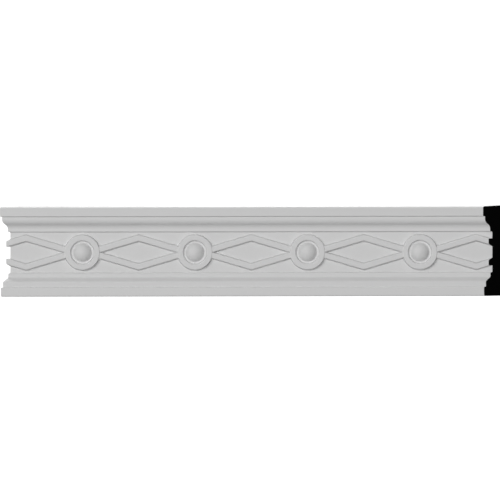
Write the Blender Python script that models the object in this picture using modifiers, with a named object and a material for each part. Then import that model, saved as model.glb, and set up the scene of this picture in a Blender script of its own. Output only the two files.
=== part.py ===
"""Ornamental chair rail: one cast length of wall moulding with a lozenge and medallion frieze.

Metres, +Z up.  The flat back lies in the plane y = 0, the face looks along -Y and the rail
runs along X.  The origin is the centre of the back.  Both ends are cut on the same slant,
so that the next length laps over or under this one.
"""

import bmesh
import bpy
from math import atan, ceil, cos, copysign, floor, hypot, pi, radians, sin, tan
from mathutils import Vector

MM = 0.001

# Heights of the members, from the top edge down to the bottom edge
LIP_HEIGHT = 13.9 * MM
CROWN_FLAT_HEIGHT = 3.7 * MM
CROWN_OGEE_HEIGHT = 14.0 * MM
UPPER_FILLET_HEIGHT = 3.5 * MM
FIELD_HEIGHT = 58.4 * MM
LOWER_FILLET_HEIGHT = 4.2 * MM
BASE_OGEE_HEIGHT = 9.6 * MM
BASE_FLAT_HEIGHT = 6.0 * MM
BASE_BAND_HEIGHT = 13.2 * MM

# Thickness behind the sunk field, and how far each member stands out past the one before
FIELD_THICKNESS = 14.4 * MM
UPPER_FILLET_STEP = 3.3 * MM
CROWN_OGEE_STEP = 7.9 * MM
LIP_STEP = 3.0 * MM
LOWER_FILLET_STEP = 2.9 * MM
BASE_OGEE_STEP = 7.1 * MM
BASE_BAND_STEP = 2.9 * MM

# The top edge rises toward the wall, and both ogees are eased by a straight slope between their
# arcs, as a share of the way from two plain arcs to one straight slope
TOP_SLOPE = radians(3.8)
CROWN_OGEE_EASE = 0.15
BASE_OGEE_EASE = 0.6

# Rounded arrises, and the cove along both edges of the field
LIP_TOP_ROUND = 2.6 * MM
LIP_BOTTOM_ROUND = 1.2 * MM
FILLET_ROUND = 0.7 * MM
FIELD_COVE = 1.9 * MM
BAND_TOP_ROUND = 1.3 * MM
BAND_BOTTOM_ROUND = 2.0 * MM

# Length along the face from cut to cut, and the slant of both cuts away from a square cut
RAIL_LENGTH = 681.0 * MM
CUT_SLANT = radians(45.0)

# The frieze repeats from the first medallion, measured along the face from the left cut
REPEAT = 158.9 * MM
FIRST_MEDALLION = 115.8 * MM

# Medallion: ring, sunk groove and dome, heights above the field
MEDALLION_MARGIN = 3.7 * MM
RING_WIDTH = 8.5 * MM
RING_RISE = 7.0 * MM
RING_ROUND = 1.3 * MM
RING_DRAFT = 1.2 * MM
GROOVE_WIDTH = 3.8 * MM
GROOVE_RISE = 2.9 * MM
DOME_SHOULDER = 0.3 * MM
DOME_RISE = 8.0 * MM

# Lozenge of flat strap: its points aim past the medallions' centres and end under their rings
STRAP_MARGIN = 3.3 * MM
STRAP_WIDTH = 10.6 * MM
STRAP_RISE = 5.7 * MM
STRAP_DRAFT = 1.6 * MM
STRAP_ROUND = 1.4 * MM
STRAP_OVERRUN = 8.2 * MM
STRAP_LAP = 3.0 * MM

# How deep the relief is rooted in the body, and how far the cutting shapes reach past it
RELIEF_ROOT = 3.0 * MM
TOOL_MARGIN = 10.0 * MM

# Fineness of the curves
ROUND_SEGMENTS = 3
OGEE_ARC_SEGMENTS = 6
DOME_SEGMENTS = 6
MEDALLION_SEGMENTS = 40
LOZENGE_SIDES = 4
WELD_DISTANCE = 0.00001

# Sizes that follow from those above
RAIL_HEIGHT = (
    LIP_HEIGHT + CROWN_FLAT_HEIGHT + CROWN_OGEE_HEIGHT + UPPER_FILLET_HEIGHT + FIELD_HEIGHT
    + LOWER_FILLET_HEIGHT + BASE_OGEE_HEIGHT + BASE_FLAT_HEIGHT + BASE_BAND_HEIGHT
)
UPPER_FILLET_DEPTH = FIELD_THICKNESS + UPPER_FILLET_STEP
CROWN_DEPTH = UPPER_FILLET_DEPTH + CROWN_OGEE_STEP
LIP_DEPTH = CROWN_DEPTH + LIP_STEP
LOWER_FILLET_DEPTH = FIELD_THICKNESS + LOWER_FILLET_STEP
BASE_DEPTH = LOWER_FILLET_DEPTH + BASE_OGEE_STEP
BAND_DEPTH = BASE_DEPTH + BASE_BAND_STEP
PROJECTION = max(LIP_DEPTH, BAND_DEPTH)
TOP_RISE = LIP_DEPTH * tan(TOP_SLOPE)
BACK_HEIGHT = RAIL_HEIGHT + TOP_RISE
FACE_TOP = BACK_HEIGHT / 2 - TOP_RISE

SLANT_RUN = PROJECTION * tan(CUT_SLANT)
LEFT_FACE_END = -RAIL_LENGTH / 2 - SLANT_RUN
RIGHT_FACE_END = RAIL_LENGTH / 2 - SLANT_RUN
FIELD_TOP = FACE_TOP - (LIP_HEIGHT + CROWN_FLAT_HEIGHT + CROWN_OGEE_HEIGHT + UPPER_FILLET_HEIGHT)
FRIEZE_CENTRE = FIELD_TOP - FIELD_HEIGHT / 2

MEDALLION_RADIUS = FIELD_HEIGHT / 2 - MEDALLION_MARGIN
RING_INNER_RADIUS = MEDALLION_RADIUS - RING_WIDTH
DOME_RADIUS = RING_INNER_RADIUS - GROOVE_WIDTH
SEAT_RADIUS = MEDALLION_RADIUS - STRAP_LAP
LOZENGE_HALF_HEIGHT = FIELD_HEIGHT / 2 - STRAP_MARGIN
LOZENGE_HALF_LENGTH = REPEAT / 2 + STRAP_OVERRUN

PRIMER_COLOUR = (0.55, 0.55, 0.55, 1.0)
PRIMER_ROUGHNESS = 0.6
CUT_COLOUR = (0.006, 0.006, 0.006, 1.0)
CUT_ROUGHNESS = 0.8


def clear_scene():
    """Remove whatever objects the file opened with."""
    for old in list(bpy.data.objects):
        bpy.data.objects.remove(old, do_unlink=True)


def new_collection(name):
    collection = bpy.data.collections.new(name)
    bpy.context.scene.collection.children.link(collection)
    return collection


def make_material(name, colour, roughness):
    material = bpy.data.materials.new(name)
    material.use_nodes = True
    shader = material.node_tree.nodes["Principled BSDF"]
    shader.inputs["Base Color"].default_value = colour
    shader.inputs["Roughness"].default_value = roughness
    shader.inputs["Metallic"].default_value = 0.0
    material.diffuse_color = colour
    return material


def rounded_corner(before, corner, after, radius):
    """Points of the arc that replaces one corner of an outline."""
    corner = Vector(corner)
    back = (Vector(before) - corner).normalized()
    ahead = (Vector(after) - corner).normalized()
    half_angle = back.angle(ahead) / 2
    reach = radius / tan(half_angle)
    middle = (back + ahead).normalized()
    centre = corner + middle * (radius / sin(half_angle))
    start = corner + back * reach - centre
    turn = pi - 2 * half_angle
    side = 1.0 if back.x * ahead.y - back.y * ahead.x < 0 else -1.0
    points = []
    for step in range(ROUND_SEGMENTS + 1):
        angle = side * turn * step / ROUND_SEGMENTS
        points.append((
            centre.x + start.x * cos(angle) - start.y * sin(angle),
            centre.y + start.x * sin(angle) + start.y * cos(angle),
        ))
    return points


def rounded_outline(corners):
    """A closed outline from corners given as (across, up, radius)."""
    points = []
    count = len(corners)
    for index, (across, up, radius) in enumerate(corners):
        if radius == 0:
            points.append((across, up))
            continue
        before = corners[index - 1][:2]
        after = corners[(index + 1) % count][:2]
        points.extend(rounded_corner(before, (across, up), after, radius))
    return points


def ogee(start_depth, start_height, end_depth, end_height, ease):
    """A double curve, upright at both ends, as plain corners: two equal arcs and a slope between."""
    step = end_depth - start_depth
    drop = start_height - end_height
    turn = 2 * atan(abs(step) / drop) * (1 - ease / 2)
    radius = (drop * sin(turn) - abs(step) * cos(turn)) / (2 * (1 - cos(turn)))
    half_curve = []
    for index in range(OGEE_ARC_SEGMENTS + 1):
        angle = turn * index / OGEE_ARC_SEGMENTS
        half_curve.append((copysign(radius * (1 - cos(angle)), step), radius * sin(angle)))
    corners = []
    for out, down in half_curve:
        corners.append((-start_depth - out, start_height - down, 0))
    for out, down in reversed(half_curve):
        corners.append((-end_depth + out, end_height + down, 0))
    return corners


def rail_section():
    """The rail's cross-section as (y, z) points, from the back's top edge round to its bottom edge."""
    lip_bottom = FACE_TOP - LIP_HEIGHT
    crown_bottom = lip_bottom - CROWN_FLAT_HEIGHT
    field_bottom = FIELD_TOP - FIELD_HEIGHT
    fillet_bottom = field_bottom - LOWER_FILLET_HEIGHT
    base_ogee_bottom = fillet_bottom - BASE_OGEE_HEIGHT
    band_top = base_ogee_bottom - BASE_FLAT_HEIGHT
    band_bottom = band_top - BASE_BAND_HEIGHT
    corners = [
        (0, FACE_TOP + TOP_RISE, 0),
        (-LIP_DEPTH, FACE_TOP, LIP_TOP_ROUND),
        (-LIP_DEPTH, lip_bottom, LIP_BOTTOM_ROUND),
        (-CROWN_DEPTH, lip_bottom, 0),
    ]
    upper_fillet_top = crown_bottom - CROWN_OGEE_HEIGHT
    corners += ogee(CROWN_DEPTH, crown_bottom, UPPER_FILLET_DEPTH, upper_fillet_top, CROWN_OGEE_EASE)
    corners += [
        (-UPPER_FILLET_DEPTH, FIELD_TOP, FILLET_ROUND),
        (-FIELD_THICKNESS, FIELD_TOP, FIELD_COVE),
        (-FIELD_THICKNESS, field_bottom, FIELD_COVE),
        (-LOWER_FILLET_DEPTH, field_bottom, FILLET_ROUND),
    ]
    corners += ogee(LOWER_FILLET_DEPTH, fillet_bottom, BASE_DEPTH, base_ogee_bottom, BASE_OGEE_EASE)
    corners += [
        (-BASE_DEPTH, band_top, 0),
        (-BAND_DEPTH, band_top, BAND_TOP_ROUND),
        (-BAND_DEPTH, band_bottom, BAND_BOTTOM_ROUND),
        (0, band_bottom, 0),
    ]
    return rounded_outline(corners)


def extruded_outline(name, points, half_thickness):
    """A flat outline given thickness along its local Z, as a welded mesh object."""
    curve = bpy.data.curves.new(name + "_outline", "CURVE")
    curve.dimensions = "2D"
    curve.fill_mode = "BOTH"
    curve.extrude = half_thickness
    spline = curve.splines.new("POLY")
    spline.points.add(len(points) - 1)
    for point, (across, up) in zip(spline.points, points):
        point.co = (across, up, 0, 1)
    spline.use_cyclic_u = True
    guide = bpy.data.objects.new(name + "_guide", curve)
    bpy.context.scene.collection.objects.link(guide)
    bpy.context.view_layer.update()
    evaluated = guide.evaluated_get(bpy.context.evaluated_depsgraph_get())
    mesh = bpy.data.meshes.new_from_object(evaluated)
    bpy.data.objects.remove(guide, do_unlink=True)
    bpy.data.curves.remove(curve)
    shape = bmesh.new()
    shape.from_mesh(mesh)
    bmesh.ops.remove_doubles(shape, verts=shape.verts, dist=WELD_DISTANCE)
    bmesh.ops.recalc_face_normals(shape, faces=shape.faces)
    shape.to_mesh(mesh)
    shape.free()
    mesh.name = name
    return bpy.data.objects.new(name, mesh)


def set_as_tool(tool, collection):
    """Keep a shape that only adds to the rail or trims it out of the finished object."""
    tool.hide_render = True
    tool.display_type = "WIRE"
    collection.objects.link(tool)


def medallion_profile():
    """Half section of a medallion as (radius, rise above the field), from the crown down its outside."""
    dome_base = GROOVE_RISE + DOME_SHOULDER
    sphere_radius = (DOME_RADIUS ** 2 + DOME_RISE ** 2) / (2 * DOME_RISE)
    points = []
    for step in range(DOME_SEGMENTS + 1):
        radius = DOME_RADIUS * sin(pi / 2 * step / DOME_SEGMENTS)
        drop = sphere_radius - (sphere_radius ** 2 - radius ** 2) ** 0.5
        points.append((radius, dome_base + DOME_RISE - drop))
    points += [(DOME_RADIUS, GROOVE_RISE), (RING_INNER_RADIUS - RING_DRAFT, GROOVE_RISE)]
    for step in range(ROUND_SEGMENTS + 1):
        angle = pi / 2 * step / ROUND_SEGMENTS
        points.append((
            RING_INNER_RADIUS + RING_ROUND * (1 - cos(angle)),
            RING_RISE - RING_ROUND * (1 - sin(angle)),
        ))
    for step in range(ROUND_SEGMENTS + 1):
        angle = pi / 2 * step / ROUND_SEGMENTS
        points.append((
            MEDALLION_RADIUS - RING_DRAFT - RING_ROUND * (1 - sin(angle)),
            RING_RISE - RING_ROUND * (1 - cos(angle)),
        ))
    points += [(MEDALLION_RADIUS, 0), (MEDALLION_RADIUS, -RELIEF_ROOT), (0, -RELIEF_ROOT)]
    return points


def half_section_mesh(name, profile):
    """An open half section, given as (radius, rise) points, that a Screw modifier turns solid."""
    mesh = bpy.data.meshes.new(name)
    shape = bmesh.new()
    previous = None
    for radius, rise in profile:
        vertex = shape.verts.new((radius, 0, rise))
        if previous is not None:
            shape.edges.new((previous, vertex))
        previous = vertex
    shape.to_mesh(mesh)
    shape.free()
    return mesh


def turned_on_field(name, mesh, centre_x, segments, stretch=(1, 1, 1)):
    """A half section turned about an axis square to the field, on the frieze's centre line."""
    turned = bpy.data.objects.new(name, mesh)
    turned.location = (centre_x, -FIELD_THICKNESS, FRIEZE_CENTRE)
    turned.rotation_euler = (pi / 2, 0, 0)
    turned.scale = stretch
    turning = turned.modifiers.new("turning", "SCREW")
    turning.axis = "Z"
    turning.angle = 2 * pi
    turning.steps = segments
    turning.render_steps = segments
    turning.use_merge_vertices = True
    turning.merge_threshold = WELD_DISTANCE
    turning.use_smooth_shade = segments == MEDALLION_SEGMENTS
    return turned


def lozenge_reach(inset):
    """How far out, as a share of the lozenge's half axes, a line lies that is inset from its edge."""
    side_length = hypot(LOZENGE_HALF_LENGTH, LOZENGE_HALF_HEIGHT)
    edge_distance = LOZENGE_HALF_LENGTH * LOZENGE_HALF_HEIGHT / side_length
    return 1 - inset / edge_distance


def strap_shoulder():
    """The rounded shoulder of a strap as (inset from its side, rise), from its top down."""
    points = []
    for step in range(ROUND_SEGMENTS + 1):
        angle = pi / 2 * step / ROUND_SEGMENTS
        points.append((STRAP_ROUND * (1 - sin(angle)), STRAP_RISE - STRAP_ROUND * (1 - cos(angle))))
    return points


def lozenge_outside_profile():
    """Half section of the whole lozenge, without its opening."""
    profile = [(0, STRAP_RISE)]
    for inset, rise in strap_shoulder():
        profile.append((lozenge_reach(STRAP_DRAFT + inset), rise))
    root = lozenge_reach(0)
    return profile + [(root, 0), (root, -RELIEF_ROOT), (0, -RELIEF_ROOT)]


def lozenge_opening_profile():
    """Half section of the shape that opens the lozenge, from above the strap to below its root."""
    top_of_tool = STRAP_RISE + TOOL_MARGIN
    bottom_of_tool = -RELIEF_ROOT - TOOL_MARGIN
    brim = lozenge_reach(STRAP_WIDTH - STRAP_DRAFT - STRAP_ROUND)
    profile = [(0, top_of_tool), (brim, top_of_tool)]
    for inset, rise in strap_shoulder():
        profile.append((lozenge_reach(STRAP_WIDTH - STRAP_DRAFT - inset), rise))
    root = lozenge_reach(STRAP_WIDTH)
    return profile + [(root, 0), (root, bottom_of_tool), (0, bottom_of_tool)]


def seat_mesh():
    """A plain disc that clears the straps away from under a medallion, but for their lap."""
    mesh = bpy.data.meshes.new("medallion_seat")
    shape = bmesh.new()
    bmesh.ops.create_cone(
        shape,
        cap_ends=True,
        segments=MEDALLION_SEGMENTS,
        radius1=SEAT_RADIUS,
        radius2=SEAT_RADIUS,
        depth=2 * (RELIEF_ROOT + TOOL_MARGIN),
    )
    shape.to_mesh(mesh)
    shape.free()
    return mesh


def make_lozenge(name, outside, opening, seats, centre_x):
    """One lozenge of flat strap, open down to the field, its points stopped by the medallions."""
    stretch = (LOZENGE_HALF_LENGTH, LOZENGE_HALF_HEIGHT, 1)
    lozenge = turned_on_field(name, outside, centre_x, LOZENGE_SIDES, stretch)
    opener = turned_on_field(name + "_opening", opening, centre_x, LOZENGE_SIDES, stretch)
    cut = lozenge.modifiers.new("opening", "BOOLEAN")
    cut.operation = "DIFFERENCE"
    cut.object = opener
    stopping = lozenge.modifiers.new("medallion seats", "BOOLEAN")
    stopping.operation = "DIFFERENCE"
    stopping.operand_type = "COLLECTION"
    stopping.collection = seats
    return lozenge, opener


def frieze_centres(offset, reach):
    """X of each copy, whole or cut, of a motif set offset from the left end of the face."""
    first = ceil((-reach - offset) / REPEAT)
    last = floor((RAIL_LENGTH + SLANT_RUN + reach - offset) / REPEAT)
    return [LEFT_FACE_END + offset + index * REPEAT for index in range(first, last + 1)]


def make_frieze(relief, seats, cutters, primer):
    """All medallions and lozenges of the frieze, placed on the field."""
    medallion_section = half_section_mesh("medallion_section", medallion_profile())
    outside = half_section_mesh("lozenge_section", lozenge_outside_profile())
    opening = half_section_mesh("lozenge_opening_section", lozenge_opening_profile())
    disc = seat_mesh()
    for mesh in (medallion_section, outside, opening, disc):
        mesh.materials.append(primer)

    for index, centre_x in enumerate(frieze_centres(FIRST_MEDALLION, REPEAT)):
        medallion = turned_on_field(f"medallion_{index + 1}", medallion_section, centre_x, MEDALLION_SEGMENTS)
        set_as_tool(medallion, relief)
        seat = bpy.data.objects.new(f"medallion_seat_{index + 1}", disc)
        seat.location = medallion.location
        seat.rotation_euler = medallion.rotation_euler
        set_as_tool(seat, seats)

    for index, centre_x in enumerate(frieze_centres(FIRST_MEDALLION - REPEAT / 2, LOZENGE_HALF_LENGTH)):
        lozenge, opener = make_lozenge(f"lozenge_{index + 1}", outside, opening, seats, centre_x)
        set_as_tool(lozenge, relief)
        set_as_tool(opener, cutters)


def plan_between_cuts():
    """The rail's plan as (x, y) points: a parallelogram that reaches past its face and its back."""
    outline = []
    for face_end, y in (
        (LEFT_FACE_END, -PROJECTION - TOOL_MARGIN),
        (RIGHT_FACE_END, -PROJECTION - TOOL_MARGIN),
        (RIGHT_FACE_END, TOOL_MARGIN),
        (LEFT_FACE_END, TOOL_MARGIN),
    ):
        outline.append((face_end + (y + PROJECTION) * tan(CUT_SLANT), y))
    return outline


def make_rail(parts, relief, cutters, primer, cut_finish):
    """The moulded body with its frieze, trimmed at both ends."""
    overlong_half = RAIL_LENGTH / 2 + SLANT_RUN + TOOL_MARGIN
    rail = extruded_outline("chair_rail", rail_section(), overlong_half)
    rail.rotation_euler = (pi / 2, 0, pi / 2)
    rail.data.materials.clear()
    rail.data.materials.append(primer)
    parts.objects.link(rail)

    plan = extruded_outline("between_cuts", plan_between_cuts(), BACK_HEIGHT)
    plan.data.materials.clear()
    plan.data.materials.append(cut_finish)
    set_as_tool(plan, cutters)

    joining = rail.modifiers.new("frieze", "BOOLEAN")
    joining.operation = "UNION"
    joining.operand_type = "COLLECTION"
    joining.collection = relief
    joining.material_mode = "TRANSFER"
    trimming = rail.modifiers.new("end cuts", "BOOLEAN")
    trimming.operation = "INTERSECT"
    trimming.object = plan
    trimming.material_mode = "TRANSFER"
    return rail


def main():
    clear_scene()
    parts = new_collection("chair_rail")
    relief = new_collection("frieze_pieces")
    seats = new_collection("medallion_seats")
    cutters = new_collection("cutters")
    primer = make_material("factory_primer", PRIMER_COLOUR, PRIMER_ROUGHNESS)
    cut_finish = make_material("sealed_cut", CUT_COLOUR, CUT_ROUGHNESS)
    make_frieze(relief, seats, cutters, primer)
    make_rail(parts, relief, cutters, primer, cut_finish)


main()
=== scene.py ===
"""Ornamental chair rail: the finished casting, its primer and its studio.

Metres, +Z up.  The rail runs along X with its flat back in the plane y = 0 and its face
towards -Y.  The moulded body is a section swept along the run, the frieze on it repeats a
turned medallion and an open lozenge of flat strap, and both ends are slant cuts.
"""

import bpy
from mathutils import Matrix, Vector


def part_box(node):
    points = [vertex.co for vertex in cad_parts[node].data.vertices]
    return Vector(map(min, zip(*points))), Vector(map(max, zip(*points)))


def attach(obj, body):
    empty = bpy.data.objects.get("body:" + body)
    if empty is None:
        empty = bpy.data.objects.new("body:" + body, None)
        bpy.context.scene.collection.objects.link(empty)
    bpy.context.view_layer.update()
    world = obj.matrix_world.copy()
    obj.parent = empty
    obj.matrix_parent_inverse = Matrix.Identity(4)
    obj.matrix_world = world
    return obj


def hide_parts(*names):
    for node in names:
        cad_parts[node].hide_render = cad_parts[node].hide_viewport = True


bl_info = {
    "name": "Ornamental chair rail",
    "version": (1, 0, 0),
    "blender": (4, 5, 0),
    "location": "View3D > Sidebar > Chair rail",
    "description": "Builds a cast chair rail with a lozenge and medallion frieze",
    "category": "Add Mesh",
}

from math import asin, atan, ceil, copysign, cos, floor, hypot, pi, radians, sin, tan

import bmesh
import bpy
from bpy.props import FloatProperty, FloatVectorProperty, IntProperty, PointerProperty
from mathutils import Matrix, Vector

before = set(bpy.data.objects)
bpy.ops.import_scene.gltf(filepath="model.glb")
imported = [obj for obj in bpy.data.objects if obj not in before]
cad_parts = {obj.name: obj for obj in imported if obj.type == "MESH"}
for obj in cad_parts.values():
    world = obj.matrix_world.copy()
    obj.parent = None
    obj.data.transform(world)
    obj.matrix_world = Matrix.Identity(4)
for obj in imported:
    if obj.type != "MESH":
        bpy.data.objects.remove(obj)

MM = 0.001
NODE = "chair_rail"
PIECE = "rail_casting"
CAD_LOW, CAD_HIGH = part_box(NODE)
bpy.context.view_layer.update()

WELD_DISTANCE = 0.002 * MM
NARROW_FACE = 1.0 * MM
CRISP_TURN = radians(40.0)

CUT_SLANT = radians(45.0)
PROJECTION = CAD_HIGH.y - CAD_LOW.y
SLANT_RUN = PROJECTION * tan(CUT_SLANT)
FACE_LENGTH = CAD_HIGH.x - CAD_LOW.x - SLANT_RUN
LEFT_FACE_END = CAD_LOW.x
RIGHT_FACE_END = CAD_LOW.x + FACE_LENGTH


def length(name, description, default):
    """A size in metres, shown in the user's own length unit."""
    return FloatProperty(
        name=name, description=description, default=default, min=0.0, unit="LENGTH", precision=4,
    )


def count(name, description, default, lowest):
    """A fineness, as a number of steps."""
    return IntProperty(name=name, description=description, default=default, min=lowest)


def share(name, description, default):
    """A strength from none to full."""
    return FloatProperty(
        name=name, description=description, default=default, min=0.0, max=1.0, subtype="FACTOR",
    )


def amount(name, description, default):
    """A plain number with no unit."""
    return FloatProperty(name=name, description=description, default=default)


def angle(name, description, default):
    """An angle, kept in radians and shown in degrees."""
    return FloatProperty(name=name, description=description, default=default, unit="ROTATION")


def colour(name, description, default):
    """A surface colour in linear light."""
    return FloatVectorProperty(
        name=name, description=description, default=default, size=4, min=0.0, max=1.0, subtype="COLOR"
    )


class RailSection(bpy.types.PropertyGroup):
    """Heights, depths and rounds of the moulded body's cross-section."""

    lip_height: length("Lip height", "Height of the top lip", 13.9 * MM)
    crown_flat_height: length("Crown flat height", "Flat under the lip", 3.7 * MM)
    crown_ogee_height: length("Crown ogee height", "Double curve above the frieze", 14.0 * MM)
    upper_fillet_height: length("Upper fillet height", "Fillet above the frieze", 3.5 * MM)
    field_height: length("Field height", "Height of the sunk field", 58.4 * MM)
    lower_fillet_height: length("Lower fillet height", "Fillet below the frieze", 4.2 * MM)
    base_ogee_height: length("Base ogee height", "Double curve below the frieze", 9.6 * MM)
    base_flat_height: length("Base flat height", "Flat above the base band", 6.0 * MM)
    base_band_height: length("Base band height", "Band along the bottom", 13.2 * MM)

    field_thickness: length("Field thickness", "Stuff behind the sunk field", 14.4 * MM)
    upper_fillet_step: length("Upper fillet step", "Fillet in front of the field", 3.3 * MM)
    crown_ogee_step: length("Crown ogee step", "Reach of the crown ogee", 7.9 * MM)
    lip_step: length("Lip step", "Lip in front of the crown flat", 3.0 * MM)
    lower_fillet_step: length("Lower fillet step", "Fillet in front of the field", 2.9 * MM)
    base_ogee_step: length("Base ogee step", "Reach of the base ogee", 7.1 * MM)
    base_band_step: length("Base band step", "Band in front of the base flat", 2.9 * MM)

    lip_top_round: length("Lip top round", "Round along the top arris", 2.6 * MM)
    lip_bottom_round: length("Lip bottom round", "Round under the lip", 1.2 * MM)
    fillet_round: length("Fillet round", "Round on both fillets", 0.7 * MM)
    field_cove: length("Field cove", "Hollow along both edges of the field", 1.9 * MM)
    band_top_round: length("Band top round", "Round on top of the base band", 1.3 * MM)
    band_bottom_round: length("Band bottom round", "Round along the bottom arris", 2.0 * MM)
    hollow_round: length("Hollow round", "Soft inner corners left by the mould", 0.45 * MM)
    top_slope: angle("Top slope", "Rise of the top edge toward the wall", radians(3.8))
    crown_ogee_ease: share("Crown ogee ease", "From two plain arcs to one straight slope", 0.15)
    base_ogee_ease: share("Base ogee ease", "From two plain arcs to one straight slope", 0.6)

    round_steps: count("Round steps", "Steps in each rounded corner", 7, 2)
    ogee_steps: count("Ogee steps", "Steps in each half of an ogee", 16, 4)


class RailFrieze(bpy.types.PropertyGroup):
    """Spacing and sizes of the medallions and lozenges."""

    repeat: length("Repeat", "From one medallion to the next", 158.9 * MM)
    first_medallion: length("First medallion", "From the left end of the face", 115.8 * MM)

    medallion_margin: length("Medallion margin", "Field left above and below a medallion", 3.7 * MM)
    ring_width: length("Ring width", "Width of the medallion's ring", 8.5 * MM)
    ring_rise: length("Ring rise", "Ring in front of the field", 7.0 * MM)
    ring_round: length("Ring round", "Round on both sides of the ring", 1.3 * MM)
    ring_draft: length("Ring draft", "Slope of the ring's sides", 1.2 * MM)
    groove_width: length("Groove width", "Sunk groove inside the ring", 3.8 * MM)
    groove_rise: length("Groove rise", "Groove floor in front of the field", 2.9 * MM)
    dome_shoulder: length("Dome shoulder", "Upright foot of the dome", 0.3 * MM)
    dome_rise: length("Dome rise", "Height of the dome above its foot", 8.0 * MM)

    strap_margin: length("Strap margin", "Field left above and below a lozenge", 3.3 * MM)
    strap_width: length("Strap width", "Width of the lozenge's strap", 10.6 * MM)
    strap_rise: length("Strap rise", "Strap in front of the field", 5.7 * MM)
    strap_draft: length("Strap draft", "Slope of the strap's sides", 1.6 * MM)
    strap_round: length("Strap round", "Round on both sides of the strap", 1.4 * MM)
    strap_overrun: length("Strap overrun", "Points aimed past the medallion's centre", 8.2 * MM)
    strap_lap: length("Strap lap", "Strap run in under the ring", 3.0 * MM)

    foot_round: length("Foot round", "Hollow where the relief meets the field", 0.5 * MM)
    foot_sink: length("Foot sink", "How far that hollow starts below the field", 0.04 * MM)
    relief_root: length("Relief root", "Relief rooted in the body", 3.0 * MM)

    medallion_steps: count("Medallion steps", "Steps round a medallion", 112, 24)
    dome_steps: count("Dome steps", "Steps from crown to foot of the dome", 14, 4)
    round_steps: count("Round steps", "Steps in each rounded shoulder", 6, 2)


class RailFinish(bpy.types.PropertyGroup):
    """Colours and surface of the primer, the sealed cuts and the back."""

    primer: colour("Primer", "Factory primer on the face", (0.77, 0.77, 0.77, 1.0))
    primer_roughness: share("Primer roughness", "Sheen of the primer", 0.62)
    # Lighter primer on the rounded arrises: partly primer rubbed thin, partly a painted highlight along
    # the edges.
    worn_and_highlit_primer: colour("Rubbed primer", "Primer rubbed thin on the arrises", (0.84, 0.84, 0.838, 1.0))
    # Dust colour on the ledges, also used as painted shade darkening the hollows and to darken pinholes.
    dust_and_shade: colour("Dust", "Dust settled on ledges and in hollows", (0.62, 0.618, 0.61, 1.0))
    cut: colour("Sealed cut", "Black sealer on the cut ends", (0.0015, 0.0015, 0.0015, 1.0))
    cut_roughness: share("Cut roughness", "Sheen of the sealer", 0.85)
    grain_size: length("Grain size", "Spacing of the primer's fine grain", 0.9 * MM)
    drift_size: length("Drift size", "Spacing of faint changes of tone", 60.0 * MM)
    # Strength of the lighter arrises, wear and painted highlight together.
    wear_and_highlight: share("Wear", "Rubbing along the arrises", 0.55)
    # Strength of the dust on ledges and of the painted shade in the hollows.
    dust_and_shade_amount: share("Dustiness", "Dust in the hollows", 0.30)


class RailStudio(bpy.types.PropertyGroup):
    """Camera, lights and floor."""

    camera_distance: length("Camera distance", "From the wall plane", 5.0)
    camera_side: amount("Camera side", "Sideways place of the camera, in metres", -0.10)
    camera_height: amount("Camera height", "Camera above the rail's centre, in metres", 0.0012)
    camera_yaw: angle("Camera yaw", "Turn towards the right end", radians(0.957))
    camera_roll: angle("Camera roll", "Tilt of the camera's horizon", radians(-0.089))
    camera_lens: amount("Camera lens", "Focal length in millimetres on a 36 mm sensor", 254.10)

    key_side: angle("Key side", "How far the key light stands to the left", radians(17.0))
    key_height: angle("Key height", "How far the key light stands above", radians(12.5))
    key_distance: length("Key distance", "From the rail to the key light", 12.0)
    key_width: length("Key width", "Width of the key light", 9.6)
    key_tallness: length("Key tallness", "Height of the key light", 2.8)
    key_power: amount("Key power", "Key light in watts", 880.0)
    top_power: amount("Top power", "Light on the top edge in watts", 5.6)
    top_lean: angle("Top lean", "How far the top light leans past upright, behind", radians(22.0))
    top_distance: length("Top distance", "From the rail to the top light", 0.6)
    top_width: length("Top width", "Width of the top light", 1.1)
    top_tallness: length("Top tallness", "Depth of the top light", 0.12)
    front_fill: amount("Front fill", "Strength of the even light in front of the rail", 0.15)
    rear_fill: amount("Rear fill", "Strength of the even light behind the rail", 0.3)
    backdrop: amount("Backdrop", "Brightness of the white background", 1.2)
    floor_drop: length("Floor drop", "Floor below the rail's centre", 1.3)
    floor_size: length("Floor size", "Width of the pale floor", 2.0)
    floor_colour: colour("Floor", "Pale studio floor", (0.8, 0.8, 0.8, 1.0))


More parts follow.
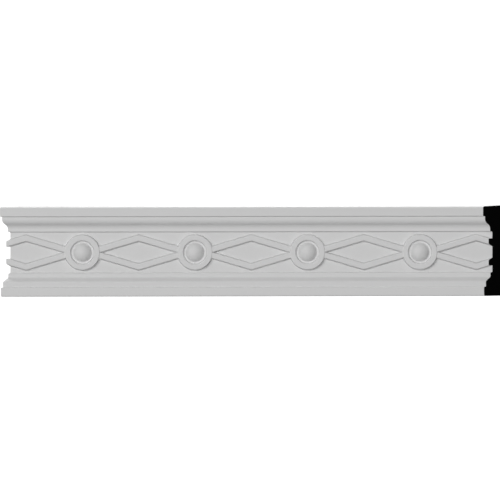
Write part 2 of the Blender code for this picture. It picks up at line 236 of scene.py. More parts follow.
class Levels:
    """Heights, depths and radii that follow from the chosen sizes."""

    def __init__(self, section, frieze):
        self.height = (
            section.lip_height + section.crown_flat_height + section.crown_ogee_height
            + section.upper_fillet_height + section.field_height + section.lower_fillet_height
            + section.base_ogee_height + section.base_flat_height + section.base_band_height
        )
        lip_depth = (
            section.field_thickness + section.upper_fillet_step
            + section.crown_ogee_step + section.lip_step
        )
        self.top_rise = lip_depth * tan(section.top_slope)
        self.back_height = self.height + self.top_rise
        self.top = self.back_height / 2 - self.top_rise
        self.lip_bottom = self.top - section.lip_height
        self.crown_bottom = self.lip_bottom - section.crown_flat_height
        self.crown_ogee_bottom = self.crown_bottom - section.crown_ogee_height
        self.field_top = self.crown_ogee_bottom - section.upper_fillet_height
        self.field_bottom = self.field_top - section.field_height
        self.fillet_bottom = self.field_bottom - section.lower_fillet_height
        self.base_ogee_bottom = self.fillet_bottom - section.base_ogee_height
        self.band_top = self.base_ogee_bottom - section.base_flat_height
        self.band_bottom = self.band_top - section.base_band_height
        self.frieze_centre = (self.field_top + self.field_bottom) / 2

        self.field_depth = section.field_thickness
        self.upper_fillet_depth = self.field_depth + section.upper_fillet_step
        self.crown_depth = self.upper_fillet_depth + section.crown_ogee_step
        self.lip_depth = lip_depth
        self.lower_fillet_depth = self.field_depth + section.lower_fillet_step
        self.base_depth = self.lower_fillet_depth + section.base_ogee_step
        self.band_depth = self.base_depth + section.base_band_step

        self.medallion_radius = section.field_height / 2 - frieze.medallion_margin
        self.ring_inner_radius = self.medallion_radius - frieze.ring_width
        self.dome_radius = self.ring_inner_radius - frieze.groove_width
        self.seat_radius = self.medallion_radius - frieze.strap_lap
        self.lozenge_half_height = section.field_height / 2 - frieze.strap_margin
        self.lozenge_half_length = frieze.repeat / 2 + frieze.strap_overrun


def rounded_corner(before, corner, after, radius, steps):
    """Points of the arc that replaces one corner of an outline."""
    corner = Vector(corner)
    back = (Vector(before) - corner).normalized()
    ahead = (Vector(after) - corner).normalized()
    half_angle = back.angle(ahead) / 2
    reach = radius / tan(half_angle)
    middle = (back + ahead).normalized()
    centre = corner + middle * (radius / sin(half_angle))
    start = corner + back * reach - centre
    turn = pi - 2 * half_angle
    side = 1.0 if back.x * ahead.y - back.y * ahead.x < 0 else -1.0
    points = []
    for step in range(steps + 1):
        turned = Matrix.Rotation(side * turn * step / steps, 2) @ start
        points.append(tuple(centre + turned))
    return points


def rounded_line(corners, steps, closed):
    """A line or outline through corners given as (across, up, radius)."""
    points = []
    for index, (across, up, radius) in enumerate(corners):
        at_end = not closed and index in (0, len(corners) - 1)
        if radius == 0 or at_end:
            points.append((across, up))
            continue
        before = corners[index - 1][:2]
        after = corners[(index + 1) % len(corners)][:2]
        points.extend(rounded_corner(before, (across, up), after, radius, steps))
    return points


def ogee(start_depth, start_height, end_depth, end_height, steps, ease):
    """A double curve, upright at both ends, as plain corners: two equal arcs and a slope between."""
    step = end_depth - start_depth
    drop = start_height - end_height
    turn = 2 * atan(abs(step) / drop) * (1 - ease / 2)
    radius = (drop * sin(turn) - abs(step) * cos(turn)) / (2 * (1 - cos(turn)))
    half_curve = []
    for index in range(steps + 1):
        bent = turn * index / steps
        half_curve.append((copysign(radius * (1 - cos(bent)), step), radius * sin(bent)))
    corners = []
    for out, down in half_curve:
        corners.append((start_depth + out, start_height - down, 0))
    for out, down in reversed(half_curve):
        corners.append((end_depth - out, end_height + down, 0))
    return corners


def rail_outline(section, levels):
    """The body's outline as (depth, height) points, from the back's top edge round to its foot."""
    hollow = section.hollow_round
    corners = [
        (0, levels.top + levels.top_rise, 0),
        (levels.lip_depth, levels.top, section.lip_top_round),
        (levels.lip_depth, levels.lip_bottom, section.lip_bottom_round),
        (levels.crown_depth, levels.lip_bottom, hollow),
    ]
    corners += ogee(
        levels.crown_depth, levels.crown_bottom,
        levels.upper_fillet_depth, levels.crown_ogee_bottom,
        section.ogee_steps, section.crown_ogee_ease,
    )
    corners += [
        (levels.upper_fillet_depth, levels.field_top, section.fillet_round),
        (levels.field_depth, levels.field_top, section.field_cove),
        (levels.field_depth, levels.field_bottom, section.field_cove),
        (levels.lower_fillet_depth, levels.field_bottom, section.fillet_round),
    ]
    corners += ogee(
        levels.lower_fillet_depth, levels.fillet_bottom,
        levels.base_depth, levels.base_ogee_bottom, section.ogee_steps, section.base_ogee_ease,
    )
    corners += [
        (levels.base_depth, levels.band_top, hollow),
        (levels.band_depth, levels.band_top, section.band_top_round),
        (levels.band_depth, levels.band_bottom, section.band_bottom_round),
        (0, levels.band_bottom, 0),
    ]
    return rounded_line(corners, section.round_steps, closed=True)


def outline_curve(name, points):
    """A closed flat outline as a poly curve object, used only as a guide."""
    curve = bpy.data.curves.new(name, "CURVE")
    curve.dimensions = "3D"
    spline = curve.splines.new("POLY")
    spline.points.add(len(points) - 1)
    for point, (across, up) in zip(spline.points, points):
        point.co = (across, up, 0, 1)
    spline.use_cyclic_u = True
    return link_guide(bpy.data.objects.new(name, curve))


def link_guide(guide):
    """Put a shape that only helps to make the rail into the scene, unseen by renders."""
    guide.hide_render = True
    guide.display_type = "WIRE"
    bpy.context.scene.collection.objects.link(guide)
    return guide


def remove_guides(guides):
    for guide in guides:
        bpy.data.objects.remove(guide, do_unlink=True)


def medallion_profile(frieze, levels):
    """Half section of a medallion as (radius, rise above the field), from crown to outer foot."""
    dome_base = frieze.groove_rise + frieze.dome_shoulder
    ball = (levels.dome_radius ** 2 + frieze.dome_rise ** 2) / (2 * frieze.dome_rise)
    sweep = asin(levels.dome_radius / ball)
    if frieze.dome_rise > levels.dome_radius:
        sweep = pi - sweep
    points = []
    for step in range(frieze.dome_steps + 1):
        turned = sweep * step / frieze.dome_steps
        points.append((ball * sin(turned), dome_base + frieze.dome_rise - ball * (1 - cos(turned))))
    foot = frieze.foot_round
    ring = frieze.ring_round
    corners = [
        (levels.dome_radius, dome_base, 0),
        (levels.dome_radius, frieze.groove_rise, foot / 2),
        (levels.ring_inner_radius - frieze.ring_draft, frieze.groove_rise, foot),
        (levels.ring_inner_radius, frieze.ring_rise, ring),
        (levels.medallion_radius - frieze.ring_draft, frieze.ring_rise, ring),
        (levels.medallion_radius, -frieze.foot_sink, foot),
        (levels.medallion_radius + frieze.ring_rise, -frieze.foot_sink, 0),
    ]
    outside = rounded_line(corners, frieze.round_steps, closed=False)[1:-1]
    foot_radius = outside[-1][0]
    return points + outside + [(foot_radius, -frieze.relief_root), (0, -frieze.relief_root)]


def turned_mesh(name, profile, steps):
    """A closed mesh turned from a half section about an axis that points out of the field."""
    shape = bmesh.new()
    line = [shape.verts.new((radius, -rise, 0)) for radius, rise in profile]
    edges = [shape.edges.new(pair) for pair in zip(line, line[1:])]
    bmesh.ops.spin(
        shape, geom=line + edges, cent=(0, 0, 0), axis=(0, 1, 0), dvec=(0, 0, 0),
        angle=2 * pi, steps=steps, use_merge=True, use_normal_flip=False,
    )
    return closed_mesh(name, shape)


def closed_mesh(name, shape):
    """Weld a bmesh, turn its faces outwards and hand it over as a mesh."""
    bmesh.ops.remove_doubles(shape, verts=shape.verts, dist=WELD_DISTANCE)
    bmesh.ops.recalc_face_normals(shape, faces=shape.faces)
    mesh = bpy.data.meshes.new(name)
    shape.to_mesh(mesh)
    shape.free()
    return mesh


def lozenge_reach(inset, levels):
    """How far out, as a share of the half axes, a line lies that is inset from the lozenge's edge."""
    long_half, short_half = levels.lozenge_half_length, levels.lozenge_half_height
    edge_distance = long_half * short_half / hypot(long_half, short_half)
    return 1 - inset / edge_distance


def strap_section(frieze):
    """The strap's closed section as (inset from the lozenge's edge, rise above the field)."""
    foot = frieze.foot_round
    width = frieze.strap_width
    corners = [
        (-width, -frieze.foot_sink, 0),
        (0, -frieze.foot_sink, foot),
        (frieze.strap_draft, frieze.strap_rise, frieze.strap_round),
        (width - frieze.strap_draft, frieze.strap_rise, frieze.strap_round),
        (width, -frieze.foot_sink, foot),
        (2 * width, -frieze.foot_sink, 0),
    ]
    outside = rounded_line(corners, frieze.round_steps, closed=False)[1:-1]
    root = -frieze.relief_root
    return outside + [(outside[-1][0], root), (outside[0][0], root)]


def strap_loop(frieze, levels):
    """The whole lozenge of strap: its section carried round the four mitred corners."""
    shape = bmesh.new()
    rings = []
    for inset, rise in strap_section(frieze):
        reach = lozenge_reach(inset, levels)
        long_half = levels.lozenge_half_length * reach
        short_half = levels.lozenge_half_height * reach
        corners = ((long_half, 0), (0, short_half), (-long_half, 0), (0, -short_half))
        rings.append([shape.verts.new((across, -rise, up)) for across, up in corners])
    for ring, following in zip(rings, rings[1:] + rings[:1]):
        for corner in range(4):
            onward = (corner + 1) % 4
            shape.faces.new((ring[corner], ring[onward], following[onward], following[corner]))
    return closed_mesh("strap_loop", shape)


def seat_disc(frieze, levels, centre_x):
    """A plain disc that clears the straps away from under a medallion, but for their lap."""
    shape = bmesh.new()
    thickness = 4 * (frieze.relief_root + frieze.strap_rise)
    bmesh.ops.create_cone(
        shape, cap_ends=True, segments=frieze.medallion_steps,
        radius1=levels.seat_radius, radius2=levels.seat_radius, depth=thickness,
        matrix=Matrix.Translation((centre_x, 0, 0)) @ Matrix.Rotation(pi / 2, 4, "X"),
    )
    return link_guide(bpy.data.objects.new("medallion_seat", closed_mesh("medallion_seat", shape)))


def evaluated_mesh(piece):
    """The object's mesh with its modifiers worked out."""
    bpy.context.view_layer.update()
    evaluated = piece.evaluated_get(bpy.context.evaluated_depsgraph_get())
    return bpy.data.meshes.new_from_object(evaluated)


def cut_with(piece, tool, operation, name):
    """Cut, join or trim a piece with another closed shape."""
    cutting = piece.modifiers.new(name, "BOOLEAN")
    cutting.operation = operation
    cutting.solver = "EXACT"
    cutting.object = tool
    cutting.material_mode = "TRANSFER"


def lozenge_guide(frieze, levels):
    """One lozenge whose straps stop under the medallions to either side."""
    loop = link_guide(bpy.data.objects.new("strap_loop", strap_loop(frieze, levels)))
    seats = [seat_disc(frieze, levels, side * frieze.repeat / 2) for side in (-1, 1)]
    for seat in seats:
        cut_with(loop, seat, "DIFFERENCE", "medallion seat")
    lozenge = link_guide(bpy.data.objects.new("lozenge", evaluated_mesh(loop)))
    remove_guides([loop] + seats)
    return lozenge


def copies_along(offset, reach, repeat):
    """Where the first copy of a motif stands, and how many copies touch the run between the cuts."""
    first = ceil((-reach - offset) / repeat)
    last = floor((FACE_LENGTH + SLANT_RUN + reach - offset) / repeat)
    return LEFT_FACE_END + offset + first * repeat, last - first + 1


class TreeBuilder:
    """Adds nodes to a node tree and links them by socket name."""

    def __init__(self, tree):
        self.tree = tree

    def node(self, kind, settings=None, **inputs):
        added = self.tree.nodes.new(kind)
        for key, value in (settings or {}).items():
            setattr(added, key, value)
        for key, value in inputs.items():
            self.feed(added.inputs[key.replace("_", " ")], value)
        return added

    def feed(self, socket, value):
        if isinstance(value, bpy.types.NodeSocket):
            self.tree.links.new(value, socket)
        else:
            socket.default_value = value


def moulding_tree():
    """Node tree that sweeps the body's section along the run and repeats the frieze on it."""
    tree = bpy.data.node_groups.new("moulding_run", "GeometryNodeTree")
    tree.is_modifier = True
    wanted = (
        ("Section", "NodeSocketObject"),
        ("Medallion", "NodeSocketObject"),
        ("Lozenge", "NodeSocketObject"),
        ("Run Start", "NodeSocketFloat"),
        ("Run End", "NodeSocketFloat"),
        ("Repeat", "NodeSocketFloat"),
        ("First Medallion", "NodeSocketFloat"),
        ("Medallions", "NodeSocketInt"),
        ("First Lozenge", "NodeSocketFloat"),
        ("Lozenges", "NodeSocketInt"),
        ("Field Depth", "NodeSocketFloat"),
        ("Frieze Centre", "NodeSocketFloat"),
        ("Finish", "NodeSocketMaterial"),
    )
    for name, kind in wanted:
        tree.interface.new_socket(name=name, in_out="INPUT", socket_type=kind)
    tree.interface.new_socket(name="Geometry", in_out="OUTPUT", socket_type="NodeSocketGeometry")

    build = TreeBuilder(tree)
    given = build.node("NodeGroupInput").outputs

    run_start = build.node("ShaderNodeCombineXYZ", X=given["Run Start"])
    run_end = build.node("ShaderNodeCombineXYZ", X=given["Run End"])
    run = build.node(
        "GeometryNodeCurvePrimitiveLine", Start=run_start.outputs[0], End=run_end.outputs[0],
    )
    section = build.node("GeometryNodeObjectInfo", Object=given["Section"])
    body = build.node(
        "GeometryNodeCurveToMesh", Curve=run.outputs["Curve"],
        Profile_Curve=section.outputs["Geometry"], Fill_Caps=True,
    )

    out_of_body = build.node("ShaderNodeMath", {"operation": "MULTIPLY"})
    build.feed(out_of_body.inputs[0], given["Field Depth"])
    build.feed(out_of_body.inputs[1], -1.0)
    spacing = build.node("ShaderNodeCombineXYZ", X=given["Repeat"])
    motifs = []
    for motif, first, number in (
        ("Medallion", "First Medallion", "Medallions"),
        ("Lozenge", "First Lozenge", "Lozenges"),
    ):
        start = build.node(
            "ShaderNodeCombineXYZ", X=given[first], Y=out_of_body.outputs[0], Z=given["Frieze Centre"],
        )
        places = build.node(
            "GeometryNodeMeshLine", {"mode": "OFFSET"}, Count=given[number],
            Start_Location=start.outputs[0], Offset=spacing.outputs[0],
        )
        shape = build.node("GeometryNodeObjectInfo", Object=given[motif])
        copies = build.node(
            "GeometryNodeInstanceOnPoints", Points=places.outputs["Mesh"],
            Instance=shape.outputs["Geometry"],
        )
        motifs.append(copies.outputs["Instances"])

    casting = build.node("GeometryNodeMeshBoolean", {"operation": "UNION", "solver": "EXACT"})
    for source in [body.outputs["Mesh"]] + motifs:
        tree.links.new(source, casting.inputs["Mesh 2"])
    whole = build.node("GeometryNodeRealizeInstances", Geometry=casting.outputs["Mesh"])
    finished = build.node(
        "GeometryNodeSetMaterial", Geometry=whole.outputs["Geometry"], Material=given["Finish"],
    )
    build.node("NodeGroupOutput", Geometry=finished.outputs["Geometry"])
    return tree


def set_inputs(modifier, values):
    """Set a node modifier's inputs by the identifiers of the sockets that carry these names."""
    sockets = {item.name: item.identifier for item in modifier.node_group.interface.items_tree}
    for name, value in values.items():
        modifier[sockets[name]] = value


def moulded_run(section, frieze, levels, primer):
    """The body with its frieze, longer than the rail at both ends, as one closed mesh."""
    outline = [(depth, -height) for depth, height in rail_outline(section, levels)]
    section_guide = outline_curve("rail_section", outline)
    medallion_mesh = turned_mesh("medallion", medallion_profile(frieze, levels), frieze.medallion_steps)
    medallion = link_guide(bpy.data.objects.new("medallion", medallion_mesh))
    lozenge = lozenge_guide(frieze, levels)

    first_medallion, medallions = copies_along(
        frieze.first_medallion, levels.medallion_radius, frieze.repeat
    )
    first_lozenge, lozenges = copies_along(
        frieze.first_medallion - frieze.repeat / 2, levels.lozenge_half_length, frieze.repeat
    )
    overrun = 2 * levels.lozenge_half_length
    run = bpy.data.objects.new("moulded_run", bpy.data.meshes.new("moulded_run"))
    bpy.context.scene.collection.objects.link(run)
    repeating = run.modifiers.new("moulding", "NODES")
    repeating.node_group = moulding_tree()
    set_inputs(repeating, {
        "Section": section_guide,
        "Medallion": medallion,
        "Lozenge": lozenge,
        "Run Start": LEFT_FACE_END - overrun,
        "Run End": RIGHT_FACE_END + SLANT_RUN + overrun,
        "Repeat": frieze.repeat,
        "First Medallion": first_medallion,
        "Medallions": medallions,
        "First Lozenge": first_lozenge,
        "Lozenges": lozenges,
        "Field Depth": levels.field_depth,
        "Frieze Centre": levels.frieze_centre,
        "Finish": primer,
    })
    mesh = evaluated_mesh(run)
    remove_guides([run, section_guide, medallion, lozenge])
    return mesh


def between_cuts(levels, sealer):
    """A block whose two slanted sides are the planes of the end cuts."""
    margin = PROJECTION
    plan = []
    for face_end, y in (
        (LEFT_FACE_END, -PROJECTION - margin),
        (RIGHT_FACE_END, -PROJECTION - margin),
        (RIGHT_FACE_END, margin),
        (LEFT_FACE_END, margin),
    ):
        plan.append((face_end + (y + PROJECTION) * tan(CUT_SLANT), y))
    shape = bmesh.new()
    base = shape.faces.new([shape.verts.new((x, y, -levels.back_height)) for x, y in plan])
    raised = bmesh.ops.extrude_face_region(shape, geom=[base])
    lifted = [item for item in raised["geom"] if isinstance(item, bmesh.types.BMVert)]
    bmesh.ops.translate(shape, verts=lifted, vec=(0, 0, 2 * levels.back_height))
    mesh = closed_mesh("between_cuts", shape)
    mesh.materials.append(sealer)
    return link_guide(bpy.data.objects.new("between_cuts", mesh))


def mark_arrises_and_hollows(mesh, narrow):
    """Store on each face's corners how far it belongs to a rounded arris or to a hollow."""
    shape = bmesh.new()
    shape.from_mesh(mesh)
    shape.normal_update()
    arris = shape.loops.layers.float.new("arris")
    hollow = shape.loops.layers.float.new("hollow")
    for face in shape.faces:
        longest = max(edge.calc_length() for edge in face.edges)
        if face.calc_area() / longest > narrow:
            continue
        bend = 0.0
        for edge in face.edges:
            if len(edge.link_faces) == 2:
                turn = edge.calc_face_angle_signed()
                if abs(turn) < pi / 4:
                    bend += turn * edge.calc_length() / longest
        for loop in face.loops:
            loop[arris] = max(0.0, bend)
            loop[hollow] = max(0.0, -bend)
    shape.to_mesh(mesh)
    shape.free()


def shade_casting(piece):
    """Smooth curves, flat flats and crisp cut ends."""
    piece.data.shade_smooth()
    piece.data.set_sharp_from_angle(angle=CRISP_TURN)
    weighting = piece.modifiers.new("flat faces stay flat", "WEIGHTED_NORMAL")
    weighting.mode = "FACE_AREA"
    weighting.keep_sharp = True


def new_material(name, roughness):
    """A material with its shader and output, ready for its pattern."""
    material = bpy.data.materials.new(name)
    material.use_nodes = True
    shader = material.node_tree.nodes["Principled BSDF"]
    shader.inputs["Roughness"].default_value = roughness
    shader.inputs["Metallic"].default_value = 0.0
    return material, TreeBuilder(material.node_tree), shader


def effect_group(name, inputs, outputs):
    """A shader node group with its sockets, given as name to kind or name to (kind, default)."""
    group = bpy.data.node_groups.new(name, "ShaderNodeTree")
    for socket_name, kind, default in inputs:
        socket = group.interface.new_socket(name=socket_name, in_out="INPUT", socket_type=kind)
        if default is not None:
            socket.default_value = default
    for socket_name, kind in outputs:
        group.interface.new_socket(name=socket_name, in_out="OUTPUT", socket_type=kind)
    build = TreeBuilder(group)
    given = build.node("NodeGroupInput").outputs
    given_out = build.node("NodeGroupOutput")
    return group, build, given, given_out.inputs


def noise_field(build, position, size, detail, roughness=0.5):
    """Noise whose spots are about size apart."""
    scale = build.node("ShaderNodeMath", {"operation": "DIVIDE"})
    scale.inputs[0].default_value = 1.0
    build.feed(scale.inputs[1], size)
    return build.node(
        "ShaderNodeTexNoise", Vector=position, Scale=scale.outputs[0], Detail=detail, Roughness=roughness,
    ).outputs["Fac"]


def math(build, operation, first, second=None, clamp=False):
    """One step of arithmetic on values or sockets."""
    step = build.node("ShaderNodeMath", {"operation": operation, "use_clamp": clamp})
    build.feed(step.inputs[0], first)
    if second is not None:
        build.feed(step.inputs[1], second)
    return step.outputs[0]


def rescale(build, value, low, high, to_low, to_high):
    """Map a value from one range to another, clamped at both ends."""
    mapped = build.node("ShaderNodeMapRange", {"clamp": True}, Value=value)
    ends = (("From Min", low), ("From Max", high), ("To Min", to_low), ("To Max", to_high))
    for socket, number in ends:
        build.feed(mapped.inputs[socket], number)
    return mapped.outputs["Result"]


def blend_colours(build, factor, first, second):
    """Mix two colours by a mask."""
    mix = build.node("ShaderNodeMix", {"data_type": "RGBA", "blend_type": "MIX"})
    build.feed(mix.inputs["Factor"], factor)
    colours = [socket for socket in mix.inputs if socket.type == "RGBA"]
    build.feed(colours[0], first)
    build.feed(colours[1], second)
    return next(socket for socket in mix.outputs if socket.type == "RGBA")


def casting_grain_group():
    """Fine grain of a sprayed coat over a casting, as a height, with scattered pinholes."""
    group, build, given, out = effect_group(
        "casting_grain",
        [
            ("Position", "NodeSocketVector", None),
            ("Grain Size", "NodeSocketFloat", 1.0 * MM),
            ("Wave Size", "NodeSocketFloat", 25.0 * MM),
            ("Pinholes", "NodeSocketFloat", 0.5),
        ],
        [("Height", "NodeSocketFloat"), ("Pits", "NodeSocketFloat")],
    )
    fine = noise_field(build, given["Position"], given["Grain Size"], 3.0, 0.6)
    wave = noise_field(build, given["Position"], given["Wave Size"], 1.0)
    cell_scale = math(build, "DIVIDE", 0.11, given["Grain Size"])
    cells = build.node("ShaderNodeTexVoronoi", Vector=given["Position"], Scale=cell_scale)
    rare = build.node("ShaderNodeSeparateColor", Color=cells.outputs["Color"]).outputs[0]
    chosen = math(build, "GREATER_THAN", rare, 0.86)
    core = rescale(build, cells.outputs["Distance"], 0.02, 0.07, 1.0, 0.0)
    pits = math(build, "MULTIPLY", math(build, "MULTIPLY", core, chosen), given["Pinholes"])
    grain = math(build, "ADD", math(build, "MULTIPLY", fine, 0.35), math(build, "MULTIPLY", wave, 1.6))
    build.feed(out["Height"], math(build, "SUBTRACT", grain, pits))
    build.feed(out["Pits"], pits)
    return group


def tone_drift_group():
    """A colour that drifts a little from place to place, as a thin coat does."""
    group, build, given, out = effect_group(
        "tone_drift",
        [
            ("Position", "NodeSocketVector", None),
            ("Colour", "NodeSocketColor", (0.8, 0.8, 0.8, 1.0)),
            ("Drift Size", "NodeSocketFloat", 60.0 * MM),
            ("Drift", "NodeSocketFloat", 0.02),
        ],
        [("Colour", "NodeSocketColor")],
    )
    broad = noise_field(build, given["Position"], given["Drift Size"], 2.0)
    close = noise_field(build, given["Position"], math(build, "DIVIDE", given["Drift Size"], 14.0), 3.0)
    centred = math(build, "SUBTRACT", math(build, "ADD", broad, close), 1.0)
    gain = math(build, "ADD", 1.0, math(build, "MULTIPLY", centred, given["Drift"]))
    scaled = build.node("ShaderNodeVectorMath", {"operation": "SCALE"})
    build.feed(scaled.inputs[0], given["Colour"])
    build.feed(scaled.inputs["Scale"], gain)
    build.feed(out["Colour"], scaled.outputs[0])
    return group


def edge_rub_and_highlight_group():
    """Mask of the rounded arrises where the coat is lightened: partly rubbed thin, partly a painted
    highlight along the edges.
    """
    group, build, given, out = effect_group(
        "edge_rub_and_highlight",
        [
            ("Position", "NodeSocketVector", None),
            ("Patch Size", "NodeSocketFloat", 12.0 * MM),
            ("Amount", "NodeSocketFloat", 0.5),
        ],
        [("Mask", "NodeSocketFloat")],
    )
    edge = build.node("ShaderNodeAttribute", {"attribute_name": "arris"}).outputs["Fac"]
    patchy = rescale(
        build, noise_field(build, given["Position"], given["Patch Size"], 4.0), 0.35, 0.65, 0.35, 1.0
    )
    strength = math(build, "MULTIPLY", rescale(build, edge, 0.05, 0.45, 0.0, 1.0), patchy)
    build.feed(out["Mask"], math(build, "MULTIPLY", strength, given["Amount"], clamp=True))
    return group


def dust_and_hollow_shade_group():
    """Mask of dust on the ledges that face up, and of painted shade darkening the hollows."""
    group, build, given, out = effect_group(
        "dust_and_hollow_shade",
        [
            ("Position", "NodeSocketVector", None),
            ("Patch Size", "NodeSocketFloat", 8.0 * MM),
            ("Amount", "NodeSocketFloat", 0.3),
        ],
        [("Mask", "NodeSocketFloat")],
    )
    corner = build.node("ShaderNodeAttribute", {"attribute_name": "hollow"}).outputs["Fac"]
    facing = build.node("ShaderNodeNewGeometry").outputs["Normal"]
    up = build.node("ShaderNodeSeparateXYZ", Vector=facing).outputs["Z"]
    ledge = rescale(build, up, 0.6, 0.95, 0.0, 0.5)
    gathered = math(build, "ADD", rescale(build, corner, 0.05, 0.5, 0.0, 1.0), ledge, clamp=True)
    patchy = rescale(
        build, noise_field(build, given["Position"], given["Patch Size"], 4.0), 0.3, 0.7, 0.3, 1.0
    )
    strength = math(build, "MULTIPLY", gathered, patchy)
    build.feed(out["Mask"], math(build, "MULTIPLY", strength, given["Amount"], clamp=True))
    return group


def use_group(build, group, **inputs):
    """Place a shared effect in a material with its own values."""
    placed = build.node("ShaderNodeGroup", {"node_tree": group}, **inputs)
    return placed.outputs


def raise_surface(build, shader, height, distance, strength=1.0):
    """Feed a height into the shader's normal."""
    bump = build.node("ShaderNodeBump", Height=height, Distance=distance, Strength=strength)
    build.feed(shader.inputs["Normal"], bump.outputs["Normal"])


def primer_material(finish, groups):
    """The sprayed factory primer on the face and the edges, plainer and rougher across the back."""
    material, build, shader = new_material("factory_primer", finish.primer_roughness)
    position = build.node("ShaderNodeTexCoord").outputs["Object"]
    grain = use_group(
        build, groups["grain"], Position=position, Grain_Size=finish.grain_size,
        Wave_Size=26.0 * MM, Pinholes=0.5,
    )
    tone = use_group(
        build, groups["drift"], Position=position, Colour=finish.primer,
        Drift_Size=finish.drift_size, Drift=0.012,
    )
    rubbed_and_highlit = use_group(build, groups["rub_and_highlight"], Position=position, Amount=finish.wear_and_highlight)
    dust_and_shade_mask = use_group(build, groups["dust_and_shade"], Position=position, Amount=finish.dust_and_shade_amount)
    # Lighter arrises: partly rubbed primer, partly a painted highlight along the edges.
    base = blend_colours(build, rubbed_and_highlit["Mask"], tone["Colour"], finish.worn_and_highlit_primer)
    # Dust on up-facing ledges, and painted shade darkening the hollows.
    base = blend_colours(build, dust_and_shade_mask["Mask"], base, finish.dust_and_shade)
    pitted = math(build, "MULTIPLY", grain["Pits"], 0.25)
    base = blend_colours(build, pitted, base, finish.dust_and_shade)
    build.feed(shader.inputs["Base Color"], base)
    polished = math(build, "MULTIPLY", rubbed_and_highlit["Mask"], 0.18)
    sheen = math(build, "SUBTRACT", finish.primer_roughness, polished)
    sheen = math(build, "ADD", sheen, math(build, "MULTIPLY", dust_and_shade_mask["Mask"], 0.3), clamp=True)
    build.feed(shader.inputs["Roughness"], sheen)
    raise_surface(build, shader, grain["Height"], 0.03 * MM)
    return material


def back_material(finish, groups):
    """The plain back as it left the mould: struck off flat, thinly coated, with open pores."""
    material, build, shader = new_material("struck_back", 0.8)
    position = build.node("ShaderNodeTexCoord").outputs["Object"]
    grain = use_group(
        build, groups["grain"], Position=position, Grain_Size=2.2 * finish.grain_size,
        Wave_Size=14.0 * MM, Pinholes=1.6,
    )
    tone = use_group(
        build, groups["drift"], Position=position, Colour=(0.70, 0.695, 0.68, 1.0),
        Drift_Size=34.0 * MM, Drift=0.12,
    )
    stretched = build.node("ShaderNodeMapping", Vector=position, Scale=(0.08, 1.0, 1.0))
    drag = noise_field(build, stretched.outputs["Vector"], 2.4 * MM, 2.0)
    pitted = math(build, "MULTIPLY", grain["Pits"], 0.4)
    base = blend_colours(build, pitted, tone["Colour"], finish.dust_and_shade)
    build.feed(shader.inputs["Base Color"], base)
    height = math(build, "ADD", grain["Height"], math(build, "MULTIPLY", drag, 0.8))
    build.feed(shader.inputs["Roughness"], rescale(build, drag, 0.3, 0.7, 0.7, 0.9))
    raise_surface(build, shader, height, 0.12 * MM)
    return material


def sealer_material(finish, groups):
    """Flat black sealer brushed on the cut ends, with the saw's marks still faintly in it."""
    material, build, shader = new_material("sealed_cut", finish.cut_roughness)
    shader.inputs["Specular IOR Level"].default_value = 0.03
    position = build.node("ShaderNodeTexCoord").outputs["Object"]
    grain = use_group(
        build, groups["grain"], Position=position, Grain_Size=finish.grain_size,
        Wave_Size=9.0 * MM, Pinholes=1.2,
    )
    tone = use_group(
        build, groups["drift"], Position=position, Colour=finish.cut, Drift_Size=20.0 * MM, Drift=0.5,
    )
    kerf = build.node("ShaderNodeMapping", Vector=position, Scale=(1.0, 1.0, 0.06))
    marks = noise_field(build, kerf.outputs["Vector"], 1.6 * MM, 2.0)
    build.feed(shader.inputs["Base Color"], tone["Colour"])
    build.feed(shader.inputs["Roughness"], rescale(build, marks, 0.3, 0.7, 0.75, 0.95))
    height = math(build, "ADD", grain["Height"], marks)
    raise_surface(build, shader, height, 0.05 * MM)
    return material


def finish_by_place(mesh, cut_slot, back_slot):
    """Give the back its own finish. The cut ends already carry theirs."""
    for face in mesh.polygons:
        if face.material_index != cut_slot and face.normal.y > 0.999 and face.center.y > -0.01 * MM:
            face.material_index = back_slot


class MakeCasting(bpy.types.Operator):
    """Build the rail: moulded body, frieze of medallions and lozenges, and slanted end cuts"""

    bl_idname = "chair_rail.make_casting"
    bl_label = "Make the casting"

    def execute(self, context):
        section = context.scene.rail_section
        frieze = context.scene.rail_frieze
        finish = context.scene.rail_finish
        levels = Levels(section, frieze)
        groups = {
            "grain": casting_grain_group(),
            "drift": tone_drift_group(),
            "rub_and_highlight": edge_rub_and_highlight_group(),
            "dust_and_shade": dust_and_hollow_shade_group(),
        }
        primer = primer_material(finish, groups)
        sealer = sealer_material(finish, groups)
        back = back_material(finish, groups)

        run = bpy.data.objects.new(PIECE, moulded_run(section, frieze, levels, primer))
        context.scene.collection.objects.link(run)
        block = between_cuts(levels, sealer)
        cut_with(run, block, "INTERSECT", "end cuts")
        mesh = evaluated_mesh(run)
        remove_guides([run, block])
        if not mesh.polygons:
            raise RuntimeError("the rail came out empty: its body and its frieze could not be joined")

        mesh.name = PIECE
        mesh.materials.append(back)
        names = [material.name for material in mesh.materials]
        finish_by_place(mesh, names.index(sealer.name), names.index(back.name))
        mark_arrises_and_hollows(mesh, NARROW_FACE)
        casting = bpy.data.objects.new(PIECE, mesh)
        context.scene.collection.objects.link(casting)
        shade_casting(casting)
        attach(casting, "root")
        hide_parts(NODE)
        return {"FINISHED"}


def area_light(name, power, width, tallness, distance, side, above):
    """A soft light aimed at the rail's centre from an angle to the left and above."""
    light = bpy.data.lights.new(name, "AREA")
    light.energy = power
    light.shape = "RECTANGLE"
    light.size = width
    light.size_y = tallness
    holder = bpy.data.objects.new(name, light)
    toward = Vector((-sin(side) * cos(above), -cos(side) * cos(above), sin(above)))
    holder.location = toward * distance
    holder.rotation_mode = "QUATERNION"
    holder.rotation_quaternion = toward.to_track_quat("Z", "Y")
    holder.visible_camera = False
    bpy.context.scene.collection.objects.link(holder)
    return holder


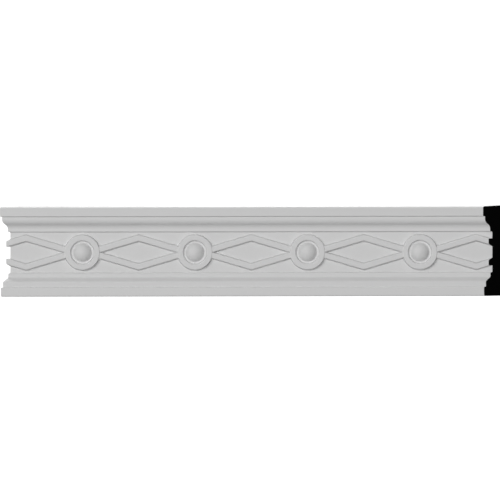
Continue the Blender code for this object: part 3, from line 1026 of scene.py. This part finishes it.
def pale_floor(studio):
    """A plain pale floor below the rail."""
    shape = bmesh.new()
    bmesh.ops.create_grid(
        shape, x_segments=1, y_segments=1, size=studio.floor_size / 2,
        matrix=Matrix.Translation((0, 0, -studio.floor_drop)),
    )
    mesh = bpy.data.meshes.new("floor")
    shape.to_mesh(mesh)
    shape.free()
    material, build, shader = new_material("pale_floor", 0.9)
    shader.inputs["Base Color"].default_value = studio.floor_colour
    mesh.materials.append(material)
    floor = bpy.data.objects.new("floor", mesh)
    bpy.context.scene.collection.objects.link(floor)


def white_surround(studio):
    """Even light, dim in front and bright behind, with a clean white background in view."""
    world = bpy.data.worlds.new("white_surround")
    world.use_nodes = True
    bpy.context.scene.world = world
    tree = world.node_tree
    tree.nodes.clear()
    build = TreeBuilder(tree)
    heading = build.node("ShaderNodeTexCoord").outputs["Generated"]
    behind = build.node("ShaderNodeSeparateXYZ", Vector=heading).outputs["Y"]
    strength = rescale(build, behind, 0.0, 0.35, studio.front_fill, studio.rear_fill)
    seen = build.node("ShaderNodeLightPath").outputs["Is Camera Ray"]
    even = build.node("ShaderNodeBackground", Color=(1.0, 1.0, 1.0, 1.0), Strength=strength)
    clean = build.node("ShaderNodeBackground", Color=(1.0, 1.0, 1.0, 1.0), Strength=studio.backdrop)
    mixed = build.node("ShaderNodeMixShader", Fac=seen)
    build.feed(mixed.inputs[1], even.outputs[0])
    build.feed(mixed.inputs[2], clean.outputs[0])
    build.node("ShaderNodeOutputWorld", Surface=mixed.outputs[0])


def long_camera(studio):
    """A long lens square to the face."""
    data = bpy.data.cameras.new("camera")
    data.sensor_width = 36.0
    data.lens = studio.camera_lens
    data.clip_end = 100.0
    camera = bpy.data.objects.new("camera", data)
    camera.location = (studio.camera_side, -studio.camera_distance, studio.camera_height)
    looking = Vector((sin(studio.camera_yaw), cos(studio.camera_yaw), 0.0))
    camera.rotation_mode = "QUATERNION"
    level = looking.to_track_quat("-Z", "Y").to_matrix()
    tilt = Matrix.Rotation(-studio.camera_roll, 3, looking)
    camera.rotation_quaternion = (tilt @ level).to_quaternion()
    bpy.context.scene.collection.objects.link(camera)
    bpy.context.scene.camera = camera


class MakeStudio(bpy.types.Operator):
    """Set the floor, the lights, the white surround and the camera"""

    bl_idname = "chair_rail.make_studio"
    bl_label = "Make the studio"

    def execute(self, context):
        studio = context.scene.rail_studio
        context.scene.view_settings.view_transform = "Standard"
        pale_floor(studio)
        white_surround(studio)
        area_light(
            "key_light", studio.key_power, studio.key_width, studio.key_tallness,
            studio.key_distance, studio.key_side, studio.key_height,
        )
        area_light(
            "top_light", studio.top_power, studio.top_width, studio.top_tallness,
            studio.top_distance, 0.0, pi / 2 + studio.top_lean,
        )
        long_camera(studio)
        return {"FINISHED"}


class RailPanel(bpy.types.Panel):
    """Sizes, finish and studio of the chair rail"""

    bl_idname = "VIEW3D_PT_chair_rail"
    bl_label = "Chair rail"
    bl_space_type = "VIEW_3D"
    bl_region_type = "UI"
    bl_category = "Chair rail"

    def draw(self, context):
        layout = self.layout
        scene = context.scene
        for operator, groups in (
            (MakeCasting, (scene.rail_section, scene.rail_frieze, scene.rail_finish)),
            (MakeStudio, (scene.rail_studio,)),
        ):
            box = layout.box()
            box.operator(operator.bl_idname)
            for group in groups:
                for name in group.__annotations__:
                    box.prop(group, name)


CLASSES = (RailSection, RailFrieze, RailFinish, RailStudio, MakeCasting, MakeStudio, RailPanel)
SETTINGS = {
    "rail_section": RailSection,
    "rail_frieze": RailFrieze,
    "rail_finish": RailFinish,
    "rail_studio": RailStudio,
}


def register():
    for made in CLASSES:
        bpy.utils.register_class(made)
    for name, group in SETTINGS.items():
        setattr(bpy.types.Scene, name, PointerProperty(type=group))


def unregister():
    for name in SETTINGS:
        delattr(bpy.types.Scene, name)
    for made in reversed(CLASSES):
        bpy.utils.unregister_class(made)


def main():
    register()
    bpy.ops.chair_rail.make_casting()
    bpy.ops.chair_rail.make_studio()


if __name__ == "__main__":
    main()
